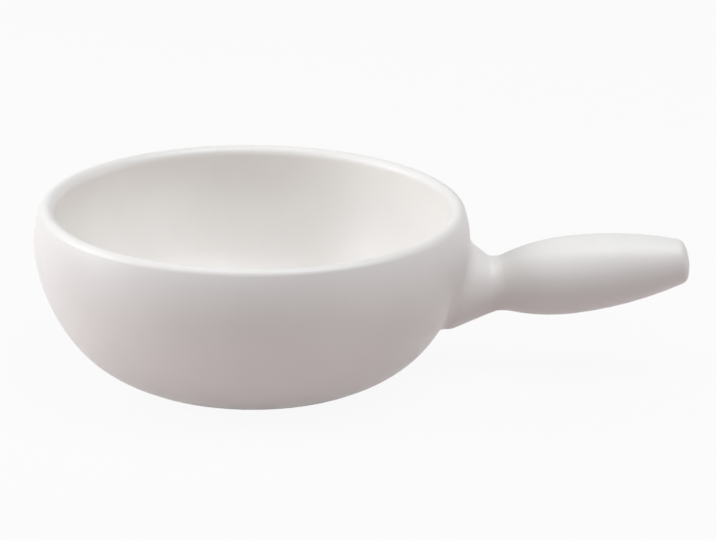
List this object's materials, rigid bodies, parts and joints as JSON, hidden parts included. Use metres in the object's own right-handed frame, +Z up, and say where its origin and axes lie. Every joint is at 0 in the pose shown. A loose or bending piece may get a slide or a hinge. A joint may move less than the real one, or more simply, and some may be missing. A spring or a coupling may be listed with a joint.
{
  "type": "fondue pot",
  "caption": "Round stoneware fondue pot with a wide belly, thick round lip, flat foot ring and one long hollow barrel-shaped handle, all in a white satin glaze.",
  "frame": {"origin": "centre of the foot ring, on the table", "axes": "+Z up along the bowl's axis, +X along the handle, away from the bowl"},
  "size_m": [0.3465, 0.23, 0.09],
  "materials": {
    "clay": "bare fired stoneware, matt, fine grog",
    "slip": "fired luting slip, matt",
    "white_glaze": "satin white glaze"
  },
  "bodies": {
    "root": {"bowl": "clay", "handle": "clay", "handle_slip": "slip", "inside_glaze": "white_glaze", "outside_glaze": "white_glaze", "base_glaze": "white_glaze", "handle_glaze": "white_glaze"}
  },
  "joints": []
}
